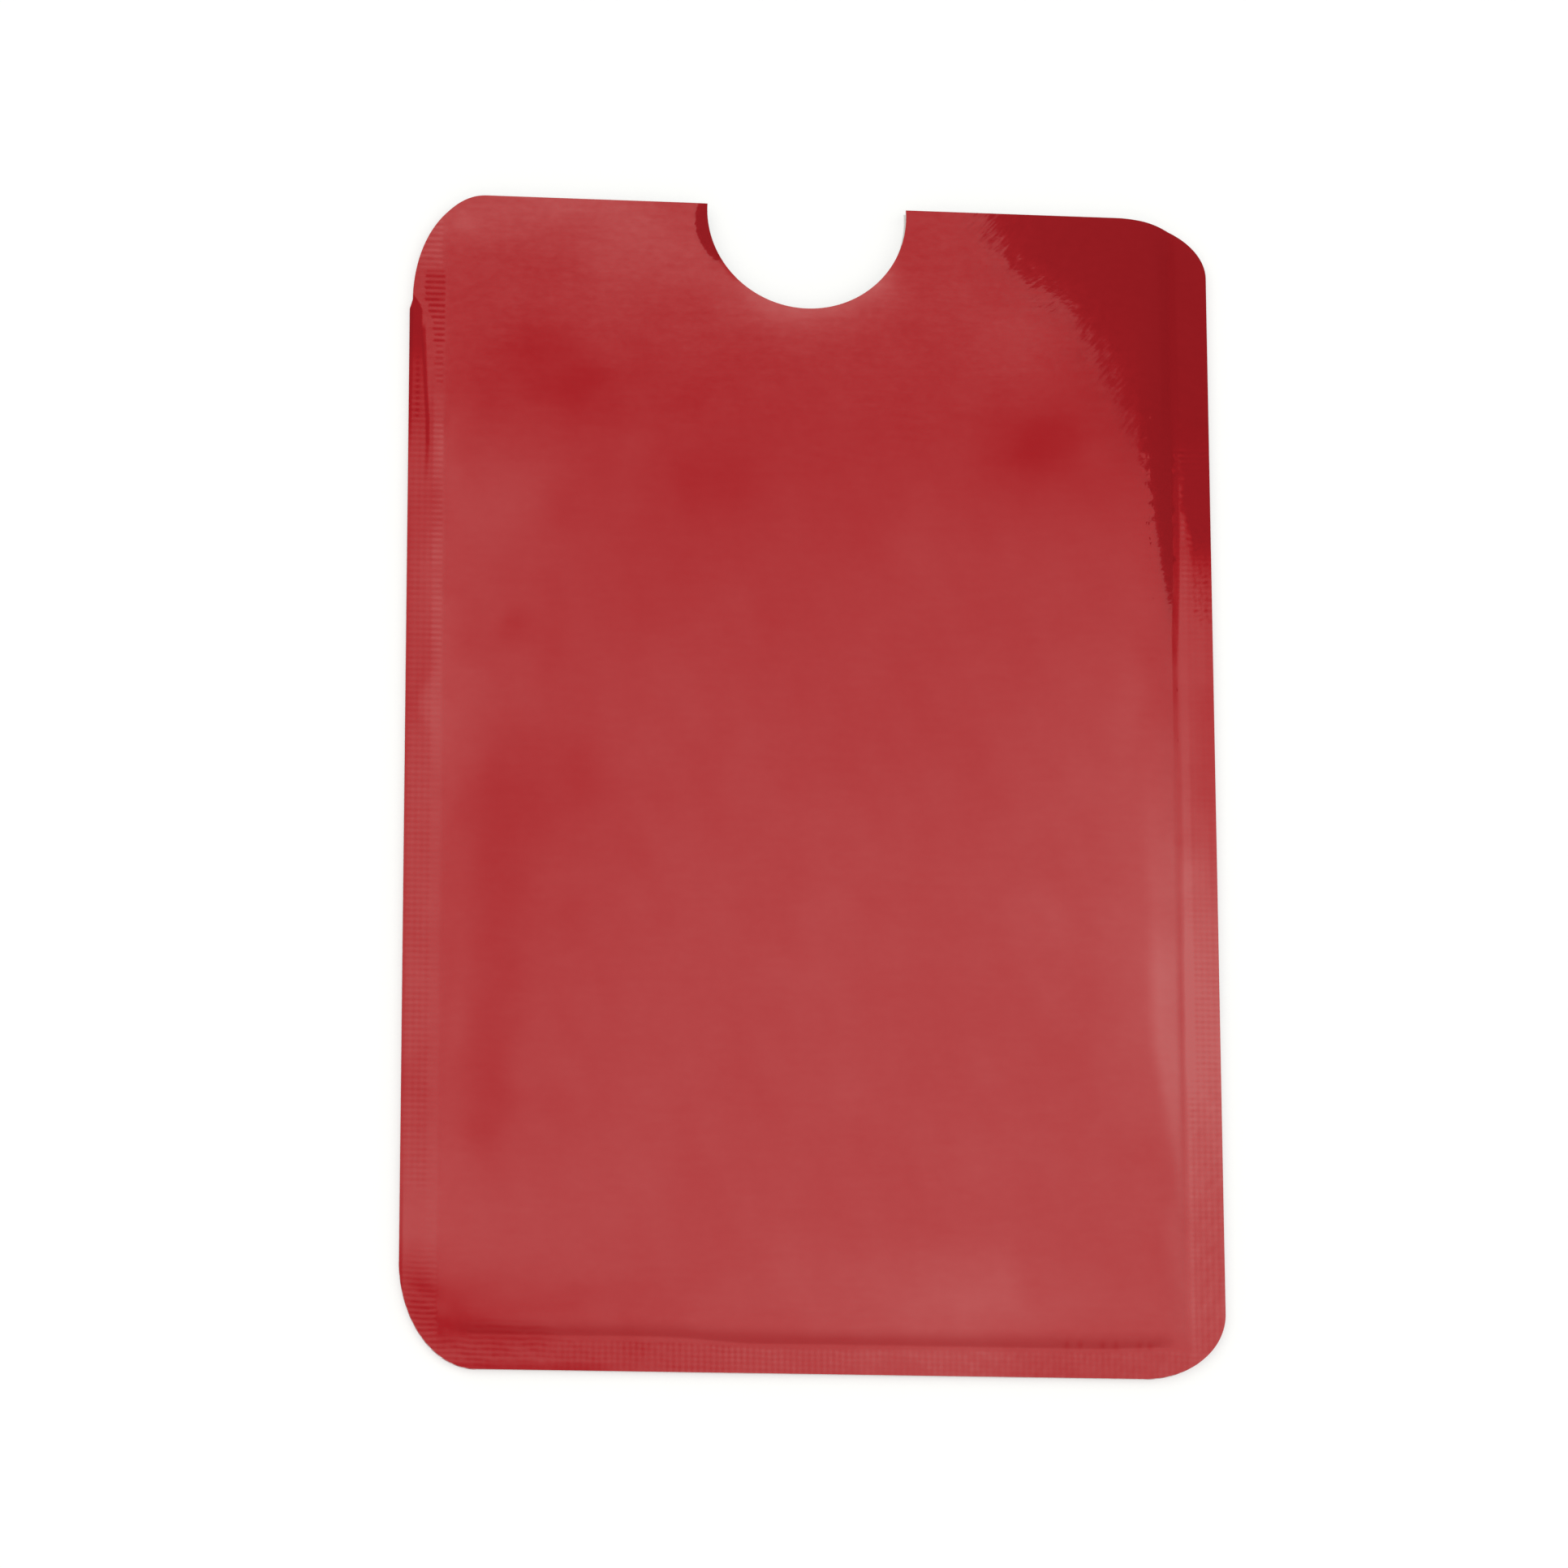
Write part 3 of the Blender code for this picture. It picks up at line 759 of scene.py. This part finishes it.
def foot_painted_light(x, y):
    """Painted shade in the soft dark line of the foot crease, which isn't quite square to the sides, and
    painted highlights and shade on the ribs.
    """
    crooked = y + 0.04 * waves(x, y, 74, 12, 1.5, 6.0) + 0.02 * (x - LEFT_EDGE)
    grooves = 1 - rib_wave(crooked)
    uneven = np.clip(0.9 + 0.3 * waves(x, y, 75, 14, 0.7, 4.0), 0.3, 1.4)
    line = follow(x, (-27, -42.75), (-10, -42.80), (-4, -43.15), (22, -43.10), (27, -42.90))
    depth = follow(x, (-28, 0.0), (-25, -0.04), (-21, -0.12), (-17, -0.08), (-12, -0.03), (-4, -0.03),
                   (0, -0.05), (8, -0.05), (12, -0.01), (27, 0.0))
    tone = depth * window(y, line - 0.3, line + 0.25, 0.5)
    # Painted highlights and shade on the band's ribs and cross lines
    band = smooth_share((line - 0.35 - y) / 0.3)
    lift = follow(x, (-28, -0.08), (-26, -0.10), (-19, -0.11), (-16, -0.07), (-12, -0.10), (-8, -0.04),
                  (-4, 0.06), (0, 0.01), (5, 0.07), (13, 0.10), (18, -0.01), (24, 0.03), (30, 0.05))
    rib = follow(x, (-31, 0.12), (-20, 0.07), (-15, 0.07), (-8, 0.13), (0, 0.07), (30, 0.05))
    cross = follow(x, (-22, 0.04), (-15, 0.10), (-10, 0.15), (-2, 0.12), (6, 0.085), (30, 0.08))
    tone += (lift + rib * (0.5 - grooves) + cross * (0.5 - cross_wave(x))) * band * uneven
    tone += 0.02 * band * crinkle_light_and_shade(x, y) * smooth_share((x - 8) / 6)
    # Painted shade along the foot edge and in the grooves towards the left corner
    tone -= 0.22 * smooth_share((-44.8 - y) / 0.4) * window(x, -27, -17, 3)
    left = 1.8 * bump_at(x, y, (-29.4, -40.9), (1.8, 2.9), 0) + bump_at(x, y, (-25.2, -42.6), (6.0, 1.0), -6)
    left += 0.8 * bump_at(x, y, (-25.0, -44.4), (5.5, 0.8), 0)
    tone += -0.20 * grooves ** 1.3 * uneven * np.minimum(left, 1.8)
    # Painted shade of the dimples
    for place in FOOT_DIMPLE_SHADES:
        tone += -0.16 * bump_at(x, y, (place, -43.05), (0.2, 0.28))
    return tone


def front_tone_and_painted_light(x, y):
    """How pale the front film is, as the film's gloss and colour follow it: partly its own uneven tone and
    gloss, partly painted highlights, painted reflections and painted shade.
    """
    tone = np.interp(y, TONE_HEIGHTS, TONE_LEVELS) + patches(x, y, TONE_AND_PAINTED_LIGHT_PATCHES)
    tone += 0.012 * waves(x, y, 52, 12, 3, 11)
    round_notch = notch_angle(x, y)
    # Painted highlight on the film round the notch's lower rim, and painted shade on its left part, where the
    # film dips
    tone += 0.17 * notch_share(x, y, 4.2) * window(round_notch, 50, 130, 24)
    tone += 0.16 * notch_share(x, y, 1.5) * window(round_notch, 60, 140, 20)
    tone -= 0.30 * notch_share(x, y, 0.4) * window(round_notch, 28, 42, 8)
    tone += left_band_painted_light(x, y) + right_band_painted_light(x, y) + foot_painted_light(x, y)
    return np.clip(tone, DARKEST, PALEST)


def front_wear(y):
    """How strong the film's fine hairlines and flecks are: most at the mouth."""
    return 0.42 + 0.58 * smooth_share((y - 20) / 18)


def back_tone_and_painted_light(x, y):
    band = 1 - front_share(x, y) ** 0.25
    # Painted highlights on the crests of the bands' ribs and painted shade in their grooves, over a faint
    # uneven tone
    pattern = 0.08 * rib_wave(y) + 0.03 * cross_wave(x) - 0.05
    return np.clip(0.60 + 0.03 * waves(x, y, 61, 12, 8, 30) + pattern * band, DARKEST, PALEST)


def front_top(x, y):
    return FRONT_FILM_LEVEL + FILM + front_form(x, y) - knurl(x, y)


def crease_points():
    """Closer points along the foot crease, for the painted shade of its dimples."""
    points = lattice(POCKET_LEFT + 2.5, POCKET_RIGHT - 2.5, POCKET_FOOT, POCKET_FOOT + 0.9, 0.16, 0.13)
    return [(points, 0.05)]


def finish(piece, material, node):
    """Give a ply its material and its place in the model, where it stands for a node."""
    piece.data.materials.append(material)
    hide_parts(node)
    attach(piece, "root")


def build_front_film():
    ring = blank_outline(0.12)
    groups = fine_points(BEND_RIGHT) + crease_points()
    groups += ramp_points(0.1, BULGE_RUN, BEND_RIGHT) + face_points(0.55)
    under = plain_points(1.0, BULGE_RUN, BEND_RIGHT) + ramp_points(0.2, BULGE_RUN, BEND_RIGHT)
    piece = make_ply("front_film_formed", ring, groups, under,
                     front_top, lambda x, y: FRONT_FILM_LEVEL + front_form(x, y))
    co = coordinates(piece)
    store(piece, "tone", front_tone_and_painted_light(co[:, 0], co[:, 1]))
    store(piece, "wear", front_wear(co[:, 1]))
    finish(piece, film_material("front_film_lacquer"), "front_film")


def build_back_film():
    ring = blank_outline(0.12)
    piece = make_ply("back_film_formed", ring, plain_points(1.0, SIDE_RAMP) + ramp_points(0.2, SIDE_RAMP),
                     fine_points() + ramp_points(0.1, SIDE_RAMP) + face_points(0.8),
                     lambda x, y: FILM + back_form(x, y),
                     lambda x, y: back_form(x, y) + knurl(-x, y))
    co = coordinates(piece)
    store(piece, "tone", back_tone_and_painted_light(-co[:, 0], co[:, 1]))
    store(piece, "wear", np.full(len(co), 0.5))
    finish(piece, film_material("back_film_lacquer"), "back_film")


def build_front_foil_and_liner():
    """The front wall's hidden plies follow its waves, so that the film stays clear of them."""
    groups = plain_points(0.8, BULGE_RUN, BEND_RIGHT) + ramp_points(0.15, BULGE_RUN, BEND_RIGHT)
    foil = make_ply("front_foil_formed", blank_outline(0.3), groups, groups,
                    lambda x, y: FRONT_FOIL_LEVEL + FOIL + front_form(x, y),
                    lambda x, y: FRONT_FOIL_LEVEL + front_form(x, y))
    finish(foil, foil_material("front_foil_rolled"), "front_foil")
    trim = (POCKET_LEFT + WELD_CLEARANCE, POCKET_RIGHT - WELD_CLEARANCE, POCKET_FOOT + WELD_CLEARANCE)
    liner = make_ply("front_liner_formed", blank_outline(0.3, trim), groups, groups,
                     lambda x, y: FRONT_LINER_LEVEL + LINER + front_form(x, y),
                     lambda x, y: FRONT_LINER_LEVEL + front_form(x, y), trim)
    finish(liner, liner_material("front_liner_seal"), "front_liner")


def dress_cad_nodes():
    """The plies and welds whose solids stay as they are get their materials."""
    fused = liner_material("weld_fused")
    materials = {
        "back_foil": foil_material("back_foil_rolled"), "back_liner": liner_material("back_liner_seal"),
        "left_weld": fused, "right_weld": fused, "foot_weld": fused,
    }
    for name, material in materials.items():
        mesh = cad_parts[name].data
        mesh.materials.clear()
        mesh.materials.append(material)


# The studio

PHOTO_SIDE = 1932
FOCAL = 8000
SENSOR = 36.0
CAMERA_PLACE = (-59.21, -117.66, 474.68 + BAND_TOP)
CAMERA_TURN = (-0.24203, 0.11604, -0.02562)

# A light tent whose far right corner stays open and dark. Directions are given as their
# slopes along (y / z) and across (x / z) the sleeve. The cloth hangs in a fold on the right,
# through these slopes, and ends nearer than the first of them at a curved hem.
TENT_EDGE = (
    (0.3000, 0.1802), (0.3065, 0.1777), (0.3130, 0.1747), (0.3223, 0.1703), (0.3280, 0.1673),
    (0.3302, 0.1650), (0.3323, 0.1606), (0.3354, 0.1576), (0.3392, 0.1556), (0.3450, 0.1546),
)
TENT_HEM, TENT_HEM_CURVE = 0.2995, 0.0895
TENT_SOFTNESS = 0.0013
TENT_BRIGHT, TENT_FAR, TENT_OPEN, TENT_WALL = 1.40, 0.85, 0.12, 1.0
CLOTH_COLOUR, OPEN_COLOUR = (1.0, 1.0, 0.95, 1), (0.7, 0.8, 1.0, 1)
FLOOR_GLOW, FLOOR_REACH = 0.53, 6.0


def set_camera():
    camera = bpy.data.cameras.new("camera")
    camera.sensor_width = SENSOR
    camera.sensor_height = SENSOR
    camera.lens = FOCAL * SENSOR / PHOTO_SIDE
    camera.clip_start = 0.01
    camera.clip_end = 30
    turn = Euler(CAMERA_TURN, "XYZ").to_matrix().transposed().to_4x4()
    holder = bpy.data.objects.new("camera", camera)
    holder.matrix_world = Matrix.Translation(Vector(CAMERA_PLACE) * MM) @ turn
    bpy.context.scene.collection.objects.link(holder)
    bpy.context.scene.camera = holder


def tent_share(tree, across, along):
    """1 where the tent's cloth is, 0 in its open corner."""
    (near, widest), (far, narrowest) = TENT_EDGE[0], TENT_EDGE[-1]
    fold = add_node(tree, "ShaderNodeFloatCurve", {"Value": remap(tree, along, near, far, 0, 1)})
    points = fold.mapping.curves[0].points
    points[0].location, points[1].location = (0, 1), (1, 0)
    for slope, limit in TENT_EDGE[1:-1]:
        points.new((slope - near) / (far - near), (limit - narrowest) / (widest - narrowest))
    fold.mapping.update()
    edge = remap(tree, fold.outputs[0], 0, 1, narrowest, widest)
    right = math_node(tree, "SUBTRACT", across, edge)
    right = remap(tree, right, -TENT_SOFTNESS, TENT_SOFTNESS, 1, 0, smooth=True)
    curve = math_node(tree, "MULTIPLY", math_node(tree, "MULTIPLY", across, across), TENT_HEM_CURVE)
    hem = math_node(tree, "SUBTRACT", along, curve)
    hem = remap(tree, hem, TENT_HEM - TENT_SOFTNESS, TENT_HEM + TENT_SOFTNESS, 1, 0, smooth=True)
    return math_node(tree, "MAXIMUM", right, hem)


def set_world():
    world = bpy.data.worlds.new("studio")
    bpy.context.scene.world = world
    world.use_nodes = True
    tree = world.node_tree
    direction = add_node(tree, "ShaderNodeTexCoord").outputs["Generated"]
    split = add_node(tree, "ShaderNodeSeparateXYZ", {0: direction})
    height = math_node(tree, "MAXIMUM", split.outputs["Z"], 0.02)
    across = math_node(tree, "DIVIDE", split.outputs["X"], height)
    along = math_node(tree, "DIVIDE", split.outputs["Y"], height)

    lit = tent_share(tree, across, along)
    near = remap(tree, along, -0.6, -0.1, 0, 1, smooth=True)
    near = math_node(tree, "MULTIPLY", near, remap(tree, along, 1.1, 1.6, 1, 0, smooth=True))
    near = math_node(tree, "MULTIPLY", near, remap(tree, across, -1.6, -1.1, 0, 1, smooth=True))
    cloth = remap(tree, near, 0, 1, TENT_FAR, TENT_BRIGHT)
    roof = remap(tree, lit, 0, 1, TENT_OPEN, cloth)
    low = remap(tree, split.outputs["Z"], 0.25, 0.45, 1, 0, smooth=True)
    strength = remap(tree, low, 0, 1, roof, TENT_WALL)
    background = tree.nodes["Background"]
    link(tree, mix_colour(tree, lit, OPEN_COLOUR, CLOTH_COLOUR), background.inputs["Color"])
    link(tree, strength, background.inputs["Strength"])


def add_floor():
    mesh = bpy.data.meshes.new("floor")
    corners = [(FLOOR_REACH * x, FLOOR_REACH * y, 0) for x, y in ((-1, -1), (1, -1), (1, 1), (-1, 1))]
    mesh.from_pydata(corners, [], [(0, 1, 2, 3)])
    mesh.materials.append(floor_material())
    floor = bpy.data.objects.new("floor", mesh)
    bpy.context.scene.collection.objects.link(floor)


def main():
    set_camera()
    set_world()
    add_floor()
    build_front_film()
    build_front_foil_and_liner()
    build_back_film()
    dress_cad_nodes()
    bpy.context.scene.view_settings.view_transform = "Standard"


main()
